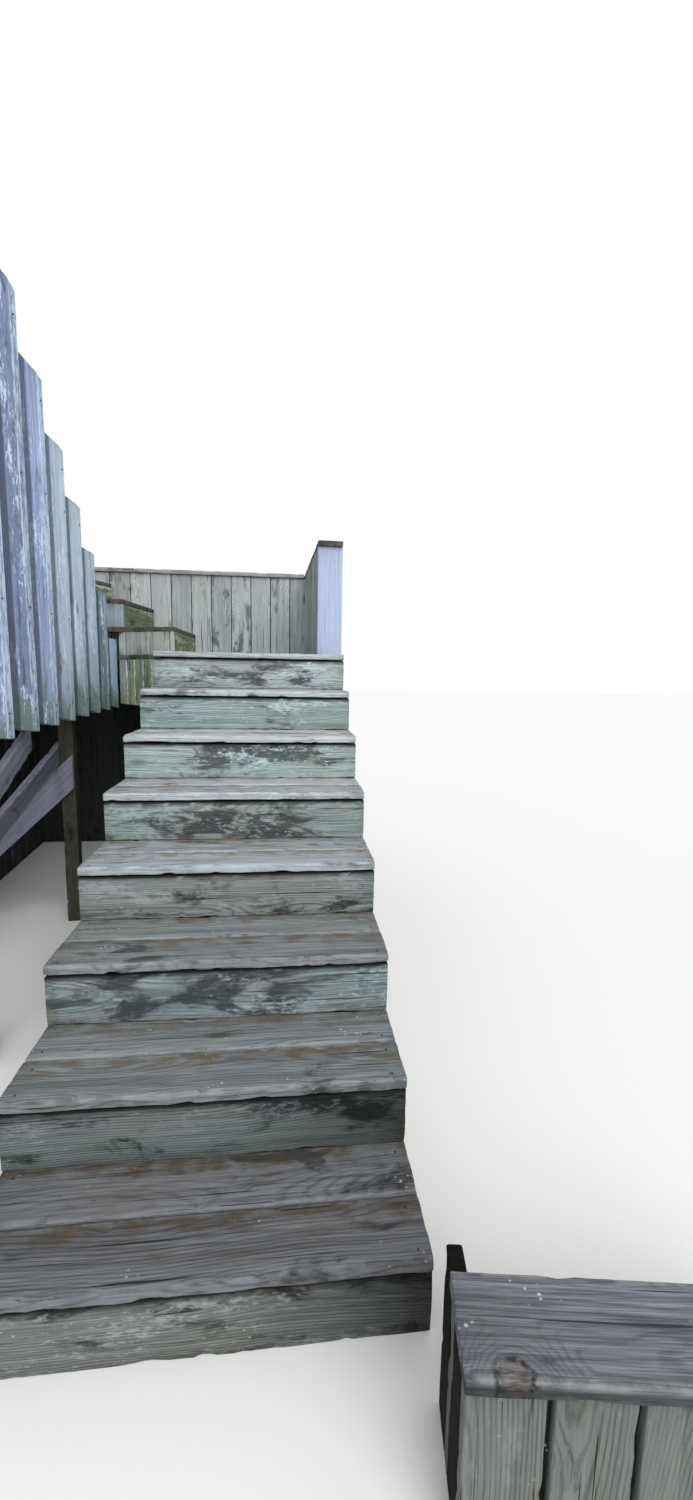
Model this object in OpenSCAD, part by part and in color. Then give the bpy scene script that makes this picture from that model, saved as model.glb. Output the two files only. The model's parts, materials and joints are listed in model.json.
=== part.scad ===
/* [Timber] */
// Thickness of planks, boards and caps
board_t = 38; // [30:1:45]
// Width of the wide planks used for treads, risers and caps
plank_w = 184; // [170:1:200]
// Width and depth of a square post
post_w = 89; // [80:1:100]
// Width of the narrow vertical boards
slat_w = 152; // [130:1:160]
// Gap between two narrow vertical boards
slat_gap = 13; // [8:1:20]
// Gap between two wide planks
plank_gap = 6; // [4:1:10]

/* [Lower flight] */
// Height from one tread to the next
rise = 230; // [226:1:240]
// Depth from one riser to the next
run = 354; // [340:1:370]
// Width of the lower flight
flight_w = 1219; // [1100:1:1400]
// Number of risers in the lower flight
steps = 8; // [8:1:8]
// How far a tread stands out over its riser
nosing = 10; // [6:1:16]

/* [Landing] */
// Depth of the landing from the top riser to the back wall
landing_depth = 2000; // [1900:10:2100]
// How far the boards along the landing's slanting edge hang below its top
wing_drop = 410; // [360:5:440]
// Number of boards along the landing's slanting edge
wing_boards = 6; // [5:1:7]

/* [Walls] */
// Height of the back wall's boards above the landing
wall_h = 800; // [720:10:860]
// How far the end wall's front corner stands in from the lower flight's right side
end_wall_inset = 145; // [120:1:165]
// Angle of the end wall to the lower flight
end_wall_angle = 1.9; // [1.4:0.1:2.6]

/* [Winding steps] */
// Distance along the back wall from one winding riser to the next
winder_run = 388; // [370:1:400]
// Distance from the back wall to the first step's front corner
first_depth = 979; // [960:1:1000]
// How far the first riser turns away to the left over its length
first_skew = 20; // [10:1:30]
// How far the second riser turns away to the left over its length
second_skew = 85; // [70:1:100]
// How far the third riser turns away to the left over its length
third_skew = 155; // [140:1:170]
// Length of the third riser along the lower flight's direction
third_depth = 369; // [350:1:390]

/* [Upper flight] */
// Depth from one riser to the next in the upper flight
upper_run = 330; // [330:1:330]
// Width of the upper flight
upper_w = 960; // [900:10:1000]
// Number of steps in the straight part of the upper flight
upper_steps = 5; // [5:1:5]
// Angle of the upper flight to the lower one
upper_angle = 4.8; // [4.6:0.1:5]
// Distance from the lower flight's left side to the far end of the upper flight's skirt
skirt_offset = 570; // [560:1:590]
// Distance from the back wall to the far end of the upper flight's skirt
skirt_depth = 714; // [700:1:730]
// How far a board of the skirt reaches behind the next one
skirt_lap = 20; // [10:1:30]
// Gap between two boards of the skirt where they lap
skirt_gap = 1; // [1:0.5:3]
// How far the skirt's first board ends below the top of the first winding step
skirt_first_drop = 100; // [80:5:120]
// Height of the lower edge of the upper flight's skirt
skirt_bottom = 1394; // [1380:1:1410]
// Distance along the skirt from its far end to the post under it
post_at = 1065; // [1040:5:1090]

/* [Corner wall] */
// Height of the corner wall with its cap
corner_h = 470; // [440:5:500]
// How far the corner wall's front corner stands out from the bottom riser
corner_out = 393; // [370:1:410]
// How far the corner wall's side board runs on behind the wall
side_board_len = 90; // [70:5:120]
// Number of boards across the corner wall
corner_boards = 6; // [5:1:7]
// Angle of the corner wall to the lower flight
corner_angle = 8.1; // [7:0.1:9]

/* [Hidden] */

// Lower flight: the origin is in the middle of the bottom riser's underside
flight_front = -board_t / 2;
half_w = flight_w / 2;
side_h = rise - board_t;
riser_h = plank_w;
tread_d = 2 * plank_w + plank_gap;
top_riser_y = flight_front + (steps - 1) * run;
function riser_y(k) = flight_front + (k - 1) * run;

// Landing: rows of planks run across it, and the wing and the end wall begin at a row
plank_pitch = plank_w + plank_gap;
landing_z = steps * rise;
deck_z = landing_z - board_t;
joist_h = plank_w;
joist_z = deck_z - joist_h;
wall_y = top_riser_y + landing_depth;
deck_first_y = top_riser_y - nosing + tread_d + plank_gap;
deck_rows = floor((wall_y - deck_first_y) / plank_pitch);
wing_y = deck_first_y + plank_pitch;
end_wall_y = wing_y;
end_wall_x = half_w - end_wall_inset;
deck_right = end_wall_x - (wall_y - end_wall_y) * tan(end_wall_angle);
rim_back_y = wall_y - board_t;

// Upper flight: x runs forward along its skirt, and y points to the lower flight
winders = 3;
slat_pitch = slat_w + slat_gap;
skirt_b = (winders - 1) * upper_run;
skirt_c = winders * upper_run;
upper_end = skirt_c + upper_steps * upper_run;
upper_base = landing_z + winders * rise;
inner_y = board_t - upper_w;
skirt_start = [-half_w - skirt_offset, wall_y - skirt_depth];
function upper_riser_x(i) = skirt_c + i * upper_run;
function upper_level(s) = landing_z + (1 + floor(s / upper_run)) * rise;
function skirt_point(s, y = 0) =
  skirt_start + s * [sin(upper_angle), -cos(upper_angle)]
  + y * [cos(upper_angle), sin(upper_angle)];
function skirt_x(y) = skirt_start[0] + (skirt_start[1] - y) * tan(upper_angle);
outer_far = (wall_y - skirt_point(0, inner_y)[1]) / cos(upper_angle);
outer_boards = floor((upper_end + outer_far + slat_gap) / slat_pitch);

// Each skirt board leans back so that its near edge passes behind the next board
lap_angle = asin((board_t + skirt_gap) / upper_run);
skirt_w = upper_run + skirt_lap;
function skirt_top(i) = landing_z + (i + 1) * rise - (i == 0 ? skirt_first_drop : 0);
skirt_d = skirt_w * sin(lap_angle) + board_t * cos(lap_angle);

// Winding steps in plan: risers from corner to wall, and the straight side under the first two
wall_a = [-half_w - board_t, wall_y];
wall_b = wall_a - [winder_run, 0];
wall_c = wall_b - [winder_run, 0];
corner_a = wall_a - [first_skew, first_depth];
side_end = skirt_point(plank_gap, plank_gap);
side_slope = (side_end[1] - corner_a[1]) / (corner_a[0] - side_end[0]);
side_in = board_t * norm([1, side_slope]);
corner_b_x = wall_b[0] - second_skew;
corner_b = [corner_b_x, corner_a[1] + (corner_a[0] - corner_b_x) * side_slope];
left_b = corner_b - [slat_pitch, 0];
knee_c = wall_c - [third_skew, third_depth];
skirt_end_b = skirt_point(skirt_b, -skirt_d);

// The landing's slanting edge runs from the skirt's far end to the lower flight
wing_end = [-half_w, wing_y];
wing_way = wing_end - skirt_start;
wing_len = norm(wing_way);
wing_in = 2 * board_t * [-wing_way[1], wing_way[0]] / wing_len;
wing_post_x = [wing_len / 3, 0.8 * wing_len];
deck_outline = [
  [-half_w, deck_first_y], [half_w, deck_first_y], [half_w, end_wall_y - plank_gap],
  [end_wall_x, end_wall_y - plank_gap], [deck_right, wall_y], [skirt_x(wall_y), wall_y],
  skirt_start, wing_end
];
joist_front_y = top_riser_y + board_t;
joist_outline = [
  wing_end + wing_in, [wing_end[0] + wing_in[0], joist_front_y], [half_w, joist_front_y],
  [half_w, rim_back_y], [skirt_x(wall_y), rim_back_y], skirt_start + wing_in
];

// Walls
wall_top = landing_z + wall_h;
wall_right = half_w + board_t;
wall_left = skirt_point(0, -upper_w)[0] - (wall_y - skirt_point(0, -upper_w)[1]) * tan(upper_angle);
cap_lip = 20;
frame_y = wall_y + board_t;
wall_bays = 4;
wall_bay = (wall_right - wall_left - post_w) / wall_bays;
rail_heights = [100, wall_top / 2, wall_top - 2 * post_w];
end_wall_d = 2 * board_t + post_w;
end_wall_len = (wall_y - end_wall_y) / cos(end_wall_angle) - end_wall_d * tan(end_wall_angle);
end_cap_len = end_wall_len + plank_w;
back_cap_right = end_wall_x - (wall_y + plank_w - end_wall_y) * tan(end_wall_angle);

// Corner wall
corner_len = corner_boards * slat_pitch - slat_gap;
corner_d = 2 * board_t + post_w;
corner_top = corner_h - board_t;
corner_y = flight_front - corner_out;
corner_x = half_w + 0.3 - (flight_front - nosing - corner_y) * tan(corner_angle);
corner_cap_lip = 7;

// Under the skirt: a beam along its foot, and braces that fall toward the front and outward
beam_z = skirt_bottom + 30;
brace_h = 120;
cross_brace_h = 225;

wood = "#8f9482";
wood_tread = "#7f8688";
wood_wall = "#a9a597";
wood_dark = "#5c5a52";
wood_skirt = "#8b90a0";

// A board between two points in plan, with its face on their line and its body to the left of it
module board_between(from, to, low, high) {
  way = to - from;
  translate([from[0], from[1], low])
    rotate([0, 0, atan2(way[1], way[0])])
      cube([norm(way), board_t, high - low]);
}

// A solid with the given outline in plan
module upright(points, low, high) {
  translate([0, 0, low])
    linear_extrude(height = high - low)
      polygon(points);
}

module slab(points, top) {
  upright(points, top - board_t, top);
}

module along_skirt() {
  translate([skirt_start[0], skirt_start[1], 0])
    rotate([0, 0, upper_angle - 90])
      children();
}

module at_corner() {
  translate([corner_x, corner_y, 0])
    rotate([0, 0, -corner_angle])
      children();
}

module lower_riser(k) {
  color(wood)
    translate([-half_w, riser_y(k), (k - 1) * rise])
      cube([flight_w, board_t, riser_h]);
}

module lower_tread(k) {
  color(wood_tread)
    for (row = [0, 1])
      translate([-half_w, riser_y(k) - nosing + row * plank_pitch, k * rise - board_t])
        cube([flight_w, plank_w, board_t]);
}

// Boards on edge, one for each course on each side, behind the course's riser
module side_boards() {
  color(wood)
    for (k = [1 : steps]) {
      front_y = riser_y(k) + board_t;
      translate([-half_w, front_y, (k - 1) * rise])
        cube([board_t, wing_y - front_y, side_h]);
      translate([half_w - board_t, front_y, (k - 1) * rise])
        cube([board_t, end_wall_y - front_y, side_h]);
    }
}

// Flat plates at tread level, behind each tread, between the courses of side boards
module side_plates() {
  color(wood)
    for (k = [1 : steps - 1]) {
      front_y = riser_y(k) - nosing + tread_d;
      translate([-half_w, front_y, k * rise - board_t])
        cube([post_w, wing_y - front_y, board_t]);
      translate([half_w - post_w, front_y, k * rise - board_t])
        cube([post_w, end_wall_y - front_y, board_t]);
    }
}

module at_wing() {
  translate([skirt_start[0], skirt_start[1], 0])
    rotate([0, 0, atan2(wing_way[1], wing_way[0])])
      children();
}

module at_end_wall() {
  translate([end_wall_x, end_wall_y, 0])
    rotate([0, 0, end_wall_angle])
      children();
}

// A row of decking, cut to the landing's outline
module deck_row(y, depth) {
  intersection() {
    translate([wall_left, y, deck_z])
      cube([wall_right - wall_left, depth, board_t]);
    upright(deck_outline, deck_z - board_t, landing_z + board_t);
  }
}

module landing_deck() {
  last_y = deck_first_y + deck_rows * plank_pitch;
  color(wood_tread) {
    for (row = [0 : deck_rows - 1])
      deck_row(deck_first_y + row * plank_pitch, plank_w);
    deck_row(last_y, wall_y - last_y);
  }
}

module landing_joists() {
  color(wood)
    intersection() {
      for (x = [-half_w - 300, -half_w, -300, 0, 300, deck_right - board_t])
        translate([x, joist_front_y, joist_z])
          cube([board_t, rim_back_y - joist_front_y, joist_h]);
      upright(joist_outline, 0, landing_z);
    }
}

module landing_rims() {
  color(wood) {
    at_wing()
      translate([plank_gap, board_t, joist_z])
        cube([wing_len - plank_gap, board_t, joist_h]);
    translate([skirt_x(wall_y), rim_back_y, joist_z])
      cube([deck_right - skirt_x(wall_y), board_t, joist_h]);
  }
}

// Boards that hang from the slanting edge
module wing_skirt() {
  width = (wing_len - plank_gap) / wing_boards - plank_gap;
  color(wood_skirt)
    at_wing()
      for (i = [0 : wing_boards - 1])
        translate([plank_gap + i * (width + plank_gap), 0, landing_z - wing_drop])
          cube([width, board_t, wing_drop - board_t]);
}

module deck_posts() {
  color(wood) {
    at_wing()
      for (x = wing_post_x)
        translate([x, board_t, 0])
          cube([post_w, post_w, joist_z]);
    for (x = [skirt_x(wall_y) + board_t, deck_right - post_w])
      translate([x, wall_y - post_w, 0])
        cube([post_w, post_w, joist_z]);
    along_skirt()
      for (s = [post_at, upper_end - post_w]) {
        translate([s, -skirt_d - post_w, 0])
          cube([post_w, post_w, beam_z]);
        translate([s, 2 * board_t - upper_w, 0])
          cube([post_w, post_w, upper_level(s) - board_t]);
      }
  }
}

module winder_treads() {
  color(wood_dark) {
    slab([corner_a, wall_a, wall_b, left_b + [0, board_t], left_b, corner_b], landing_z + rise);
    slab([corner_b, wall_b, wall_c, knee_c, skirt_end_b, left_b], landing_z + 2 * rise);
    slab([knee_c, wall_c, [wall_left, wall_y], skirt_point(skirt_c, -upper_w),
          skirt_point(skirt_c, inner_y), skirt_point(skirt_c + board_t, inner_y),
          skirt_point(skirt_c + board_t, -skirt_d), skirt_end_b], upper_base);
  }
}

module winder_risers() {
  color(wood) {
    upright([corner_a + [0, side_in], wall_a, wall_a - [board_t, 0],
             corner_a + [-board_t, side_in + board_t * side_slope]],
            landing_z, landing_z + side_h);
    upright([corner_b + [0, board_t], wall_b, wall_b - [board_t, 0],
             corner_b + [-board_t, board_t]],
            landing_z + rise, landing_z + rise + side_h);
    upright([knee_c, wall_c, wall_c - [board_t, 0], knee_c - [board_t, 0]],
            upper_base - rise, upper_base - board_t);
  }
}

// The sides of the winding steps that face the lower flight
module winder_sides() {
  color(wood_wall) {
    upright([side_end, corner_a, corner_a + [0, side_in], side_end + [0, side_in]],
            landing_z, landing_z + side_h);
    upright([left_b, corner_b, corner_b + [0, board_t], left_b + [0, board_t]],
            landing_z + rise, landing_z + rise + side_h);
    board_between(skirt_end_b, knee_c, upper_base - rise, upper_base - board_t);
  }
}

module winder_joists() {
  front_x = skirt_c - board_t;
  low = upper_base - board_t - joist_h;
  color(wood)
    intersection() {
      along_skirt() {
        translate([front_x, inner_y, low])
          cube([board_t, -skirt_d - inner_y, joist_h]);
        for (y = [inner_y, inner_y / 2 - board_t])
          translate([-upper_w, y, low])
            cube([upper_w + front_x - 0.5, board_t, joist_h]);
      }
      translate([wall_left, 0, 0])
        cube([wall_right - wall_left, wall_y, upper_base]);
    }
}

module upper_treads() {
  color(wood_dark)
    along_skirt()
      for (i = [0 : upper_steps - 1]) {
        x = upper_riser_x(i) - nosing;
        back = min(upper_riser_x(i + 1) + board_t, upper_end);
        translate([x, inner_y, upper_base + (i + 1) * rise - board_t])
          cube([back - x, -skirt_d - inner_y, board_t]);
      }
}

module upper_risers() {
  color(wood)
    along_skirt()
      for (i = [0 : upper_steps - 1])
        translate([upper_riser_x(i), inner_y, upper_base + i * rise])
          cube([board_t, -skirt_d - inner_y, side_h]);
}

// Two boards cut to the steps, with a straight lower edge
module upper_stringers() {
  seat = upper_base - board_t;
  color(wood)
    along_skirt()
      for (y = [-skirt_d, inner_y + board_t])
        translate([0, y, 0])
          rotate([90, 0, 0])
            linear_extrude(height = board_t)
              polygon(concat(
                [[upper_end, seat + upper_steps * rise], [upper_end, seat + upper_steps * rise - joist_h],
                 [skirt_c, seat - joist_h], [skirt_c, seat]],
                [for (i = [0 : upper_steps - 1], up = [0, 1])
                  [upper_riser_x(i) + board_t, seat + (i + up) * rise]]));
}

module upper_beam() {
  color(wood)
    along_skirt()
      translate([0, -skirt_d - board_t, beam_z])
        cube([upper_end, board_t, joist_h]);
}

module upper_skirt() {
  color(wood_skirt)
    along_skirt()
      for (i = [0 : winders + upper_steps - 1])
        translate([i * upper_run, 0, skirt_bottom])
          rotate([0, 0, -lap_angle])
            translate([0, -board_t, 0])
              cube([skirt_w, board_t, skirt_top(i) - skirt_bottom]);
}

module upper_outer_boards() {
  color(wood_wall)
    along_skirt()
      for (i = [1 : outer_boards]) {
        x = upper_end - i * slat_pitch;
        translate([x, -upper_w, 0])
          cube([slat_w, board_t, max(upper_level(x + 1), upper_base) - board_t]);
      }
}

// A brace's side view: its upper end, how far it reaches and how far it falls over that
module brace(high, reach, fall, height) {
  linear_extrude(height = board_t)
    polygon([[0, high - height], [reach, high - height - fall * reach], [reach, high - fall * reach],
             [0, high]]);
}

// Two fall toward the front, and one runs outward from the post to the outer boards
module upper_braces() {
  front_brace_s = post_at + 835;
  across = upper_w - 2 * board_t - skirt_d;
  color(wood)
    along_skirt() {
      translate([front_brace_s, -skirt_d, 0])
        rotate([90, 0, 0])
          brace(skirt_bottom + 12, upper_end - post_w - front_brace_s, 0.398, brace_h);
      translate([post_at, -skirt_d - post_w, 0])
        rotate([90, 0, 0])
          brace(skirt_bottom - 161, upper_end - post_at, 0.235, brace_h);
      translate([post_at + post_w, -skirt_d, 0])
        rotate([90, 0, -90])
          translate([0, 0, -board_t])
            brace(skirt_bottom - 234, across, 0.94, cross_brace_h);
    }
}

// Wall boards side by side along x, with a narrower one at the far end
module board_row(len, high) {
  count = floor(len / plank_pitch);
  for (i = [0 : count - 1])
    translate([i * plank_pitch, 0, 0])
      cube([plank_w, board_t, high]);
  translate([count * plank_pitch, 0, 0])
    cube([len - count * plank_pitch, board_t, high]);
}

module back_wall_boards() {
  color(wood_wall)
    translate([wall_right, wall_y + board_t, 0])
      rotate([0, 0, 180])
        board_row(wall_right - wall_left, wall_top);
}

module back_wall_cap() {
  color(wood_wall)
    translate([wall_left, wall_y - cap_lip, wall_top])
      cube([back_cap_right - wall_left, plank_w, board_t]);
}

module back_wall_rails() {
  color(wood)
    for (i = [0 : wall_bays - 1])
      for (z = rail_heights)
        translate([wall_left + i * wall_bay + post_w, frame_y, z])
          cube([wall_bay - post_w, board_t, post_w]);
}

module wall_posts() {
  color(wood) {
    for (i = [0 : wall_bays])
      translate([wall_left + i * wall_bay, frame_y, 0])
        cube([post_w, post_w, wall_top]);
    at_end_wall()
      for (y = [board_t, end_wall_len / 2])
        translate([board_t, y, 0])
          cube([post_w, post_w, wall_top]);
  }
}

module end_wall_boards() {
  color(wood_wall)
    at_end_wall()
      for (x = [board_t, end_wall_d])
        translate([x, board_t, 0])
          rotate([0, 0, 90])
            board_row(end_wall_len - board_t, wall_top);
}

module end_wall_end_board() {
  color(wood_wall)
    at_end_wall()
      cube([plank_w, board_t, wall_top]);
}

// The end wall's cap runs over the back wall, and the back wall's cap ends at it
module end_wall_cap() {
  color(wood_dark)
    at_end_wall()
      translate([0, -cap_lip, wall_top])
        cube([plank_w, end_cap_len, board_t]);
}

module corner_wall_boards() {
  color(wood_wall)
    at_corner()
      for (y = [0, corner_d - board_t])
        for (i = [0 : corner_boards - 1])
          translate([i * slat_pitch, y, 0])
            cube([slat_w, board_t, corner_top]);
}

module corner_wall_posts() {
  color(wood)
    at_corner()
      for (x = [board_t, corner_len / 2, corner_len - post_w])
        translate([x, board_t, 0])
          cube([post_w, post_w, corner_top]);
}

module corner_wall_side_board() {
  color(wood_dark)
    at_corner() {
      translate([0, board_t, 0])
        cube([board_t, post_w, corner_top]);
      translate([0, corner_d, 0])
        cube([board_t, side_board_len, corner_top]);
    }
}

module corner_wall_cap() {
  color(wood_dark)
    at_corner()
      translate([-corner_cap_lip, -cap_lip, corner_top])
        cube([corner_len + 2 * corner_cap_lip, plank_w, board_t]);
}

lower_riser(1);  // riser_1
lower_riser(2);  // riser_2
lower_riser(3);  // riser_3
lower_riser(4);  // riser_4
lower_riser(5);  // riser_5
lower_riser(6);  // riser_6
lower_riser(7);  // riser_7
lower_riser(8);  // riser_8
lower_tread(1);  // tread_1
lower_tread(2);  // tread_2
lower_tread(3);  // tread_3
lower_tread(4);  // tread_4
lower_tread(5);  // tread_5
lower_tread(6);  // tread_6
lower_tread(7);  // tread_7
lower_tread(8);  // tread_8
side_boards();
side_plates();
landing_deck();
landing_joists();
landing_rims();
wing_skirt();
deck_posts();
winder_treads();
winder_risers();
winder_sides();
winder_joists();
upper_treads();
upper_risers();
upper_stringers();
upper_beam();
upper_skirt();
upper_outer_boards();
upper_braces();
back_wall_boards();
back_wall_cap();
back_wall_rails();
wall_posts();
end_wall_boards();
end_wall_end_board();
end_wall_cap();
corner_wall_boards();
corner_wall_side_board();
corner_wall_cap();
corner_wall_posts();
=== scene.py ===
"""Looks of the timber garden stairs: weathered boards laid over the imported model's solids."""

import json
import math

import bmesh
import bpy
import numpy as np
from mathutils import Matrix, Vector


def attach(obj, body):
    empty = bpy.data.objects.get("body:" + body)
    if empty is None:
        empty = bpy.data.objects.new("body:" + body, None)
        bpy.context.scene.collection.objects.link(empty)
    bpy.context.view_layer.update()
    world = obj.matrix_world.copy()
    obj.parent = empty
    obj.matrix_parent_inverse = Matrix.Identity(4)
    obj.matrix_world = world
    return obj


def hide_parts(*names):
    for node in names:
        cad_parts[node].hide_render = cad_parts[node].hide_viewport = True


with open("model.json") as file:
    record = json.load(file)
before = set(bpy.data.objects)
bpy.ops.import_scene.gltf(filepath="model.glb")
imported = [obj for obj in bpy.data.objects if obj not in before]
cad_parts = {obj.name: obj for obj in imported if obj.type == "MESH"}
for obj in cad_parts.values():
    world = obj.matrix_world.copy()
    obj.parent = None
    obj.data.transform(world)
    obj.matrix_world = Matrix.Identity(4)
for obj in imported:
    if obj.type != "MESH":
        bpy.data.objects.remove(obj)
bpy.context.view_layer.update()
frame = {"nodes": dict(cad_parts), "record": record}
nodes = frame["nodes"]

# Camera, measured from the photograph, in metres and radians
CAMERA_AT = (0.2252, -1.2349, 1.7094)
CAMERA_YAW = 0.1109
CAMERA_PITCH = 0.1344
CAMERA_ROLL = 0.0168
PHOTO_LONG_SIDE = 1500
FOCAL_PIXELS = 558.0
SENSOR = 36.0

# Long edges of a board, in metres: their radius, its limits, and the points of each arc
ROUNDING = 0.0035
LEAST_ROUNDING = 0.001
MOST_ROUNDING = 0.32  # of the board's thickness
ARC_POINTS = 3
SECTION_CORNERS = ((0, 0, 180), (1, 0, 270), (1, 1, 0), (0, 1, 90))  # far side, top, first angle
POINTS_THROUGH = 2
END_INSETS = (0.0015, 0.005)

# Wear, in metres
DENT = 0.0006
CHIP = 0.012
ROUGH_END = 0.0012
TRODDEN_EDGE = 0.03

NAIL_RINGS = ((0.0022, 0.0005), (0.0042, 0.0014), (0.0046, 0.004))  # radius and depth
NAIL_SIDES = 10
NAIL_SCATTER = 0.012
NAIL_CROWN = 0.0003
NO_NAIL = 0.2  # at the end of a board with nails all along it
ASKEW = (0.31, 0.52, 0.79)  # a direction that no board's normal has

BEVEL = 0.003
SAME_POINT = 2e-4
PLAIN_TONE = (1, 1, 1)


# Smooth noise

def hashed(ix, iy, iz, seed):
    """A number from 0 to 1 for each lattice point."""
    h = (ix * 374761393 + iy * 668265263 + iz * 2147483647 + seed * 1274126177) & 0xFFFFFFFF
    h = ((h ^ (h >> 13)) * 1274126177) & 0xFFFFFFFF
    return ((h ^ (h >> 16)) & 0xFFFF) / 65535.0


def noise(x, y=0.0, z=0.0, seed=0):
    """Value noise from -1 to 1 at arrays of points."""
    x, y, z = np.broadcast_arrays(np.asarray(x, float), np.asarray(y, float), np.asarray(z, float))
    cell = [np.floor(a).astype(np.int64) for a in (x, y, z)]
    part = [a - c for a, c in zip((x, y, z), cell)]
    ease = [p * p * (3 - 2 * p) for p in part]
    total = np.zeros(x.shape)
    for dx in (0, 1):
        for dy in (0, 1):
            for dz in (0, 1):
                weight = np.ones(x.shape)
                for d, e in zip((dx, dy, dz), ease):
                    weight = weight * (e if d else 1 - e)
                total += weight * hashed(cell[0] + dx, cell[1] + dy, cell[2] + dz, seed)
    return total * 2 - 1


# Solids of a CAD node

class Solid:
    """One closed solid of a CAD node: its corner points and its faces."""

    def __init__(self, points, faces):
        self.points = points
        self.faces = faces

    def board(self):
        """The board that fills the solid, or None where its outline has more than four corners."""
        def is_corner(point):
            return any(np.linalg.norm(point - q) < SAME_POINT for q in self.points)

        if len(self.points) != 8:
            return None
        start = self.points[0]
        for way in sorted((p - start for p in self.points[1:]), key=np.linalg.norm):
            base = [p for p in self.points if is_corner(p + way)]
            if len(base) == 4:
                return Board(np.array(base), way)
        return None


def solids_of(name):
    """The closed solids of a CAD node, in an order that doesn't change from run to run."""
    mesh = nodes[name].data
    points = np.zeros(len(mesh.vertices) * 3)
    mesh.vertices.foreach_get("co", points)
    points = np.round(points.reshape(-1, 3), 5)
    unique, same = np.unique(points, axis=0, return_inverse=True)
    same = same.reshape(-1)
    group = list(range(len(unique)))

    def root(i):
        while group[i] != i:
            group[i] = group[group[i]]
            i = group[i]
        return i

    faces = [[int(same[i]) for i in polygon.vertices] for polygon in mesh.polygons]
    for face in faces:
        for c in face[1:]:
            group[root(c)] = root(face[0])
    found = []
    for r in sorted({root(i) for i in range(len(unique))}):
        own = [i for i in range(len(unique)) if root(i) == r]
        number = {i: k for k, i in enumerate(own)}
        found.append(Solid(unique[own], [[number[i] for i in f] for f in faces if root(f[0]) == r]))
    return sorted(found, key=lambda s: tuple(np.round(s.points.mean(0), 3)))


class Board:
    """A board of four-cornered outline: its eight corners by length, width and thickness."""

    def __init__(self, base, way):
        middle = base.mean(0)
        normal = way / np.linalg.norm(way)
        first = base[0] - middle
        first = first / np.linalg.norm(first)
        second = np.cross(normal, first)
        turn = [math.atan2((p - middle) @ second, (p - middle) @ first) for p in base]
        q = base[np.argsort(turn)]
        sides = [np.linalg.norm(q[(i + 1) % 4] - q[i]) for i in range(4)]
        if sides[0] + sides[2] < sides[1] + sides[3]:
            q = np.roll(q, -1, axis=0)
        grid = np.array([[q[0], q[3]], [q[1], q[2]]])
        corners = np.stack([grid, grid + way], axis=2)
        for axis, mean in enumerate(self.means(corners)):
            if mean[np.argmax(np.abs(mean))] < 0:
                corners = np.flip(corners, axis)
        means = self.means(corners)
        if np.linalg.norm(means[1]) < np.linalg.norm(means[2]):
            corners = np.swapaxes(corners, 1, 2)
            means = [means[0], means[2], means[1]]
        self.corners = corners
        self.size = np.array([np.linalg.norm(m) for m in means])
        self.axes = np.array([m / s for m, s in zip(means, self.size)])

    @staticmethod
    def means(corners):
        """The mean step along each of the three directions of a grid of eight corners."""
        spans = [corners[1] - corners[0], corners[:, 1] - corners[:, 0], corners[:, :, 1] - corners[:, :, 0]]
        return [span.reshape(-1, 3).mean(0) for span in spans]

    @classmethod
    def of(cls, corners, size, axes):
        """A board from corners, size and axes that are already in order."""
        made = cls.__new__(cls)
        made.corners, made.size, made.axes = corners, size, axes
        return made

    def place(self, local):
        """The places in the scene of points given by length, width and thickness."""
        u, v, w = (local / self.size).T[:, :, None]
        c = self.corners
        near = (1 - u) * c[0, 0, 0] + u * c[1, 0, 0], (1 - u) * c[0, 1, 0] + u * c[1, 1, 0]
        far = (1 - u) * c[0, 0, 1] + u * c[1, 0, 1], (1 - u) * c[0, 1, 1] + u * c[1, 1, 1]
        return (1 - w) * ((1 - v) * near[0] + v * near[1]) + w * ((1 - v) * far[0] + v * far[1])

    def part(self, low, high):
        """The part of the board between two points given by shares of its size."""
        low, high = np.array(low), np.array(high)
        ends = (0, 1)
        shares = np.array([[[np.where((i, j, k), high, low) for k in ends] for j in ends] for i in ends])
        corners = self.place(shares.reshape(-1, 3) * self.size).reshape(2, 2, 2, 3)
        return Board.of(corners, self.size * (high - low), self.axes)

    def turned(self):
        """The same board with its grain along its width."""
        swap = [1, 0, 2]
        return Board.of(np.swapaxes(self.corners, 0, 1), self.size[swap], self.axes[swap])


# A board's mesh

def board_section(u, board, across, wear, seed):
    """The rounded outline at each station: its points across and through, and how near each is to an edge."""
    width, thick = board.size[1:]
    radius = []
    for c in range(4):
        n = noise(u * 9, c * 7.3, seed=seed) + 0.5 * noise(u * 31, c * 3.1, seed=seed + 5)
        most = min(width, thick) * MOST_ROUNDING
        radius.append(np.clip(ROUNDING * wear * (1 + 0.6 * n), LEAST_ROUNDING, most))

    def centre(c):
        right, top, _ = SECTION_CORNERS[c]
        return np.where(right, width - radius[c], radius[c]), np.where(top, thick - radius[c], radius[c])

    ring_v, ring_w, rim = [], [], []
    for c, (_, _, angle) in enumerate(SECTION_CORNERS):
        flat = c in (0, 2)
        r, (cv, cw) = radius[c], centre(c)
        for k in range(ARC_POINTS):
            a = math.radians(angle + 90 * k / (ARC_POINTS - 1))
            ring_v.append(cv + r * math.cos(a))
            ring_w.append(cw + r * math.sin(a))
            rim.append(1.0)
        after = (c + 1) % 4
        nr, (nv, nw) = radius[after], centre(after)
        a = math.radians(angle + 90)
        v0, w0 = cv + r * math.cos(a), cw + r * math.sin(a)
        v1, w1 = nv + nr * math.cos(a), nw + nr * math.sin(a)
        count = across if flat else POINTS_THROUGH
        for k in range(1, count):
            ring_v.append(v0 + (v1 - v0) * k / count)
            ring_w.append(w0 + (w1 - w0) * k / count)
            rim.append(0.0 if flat else 0.5)
    return np.array(ring_v).T, np.array(ring_w).T, np.array(rim)


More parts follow.
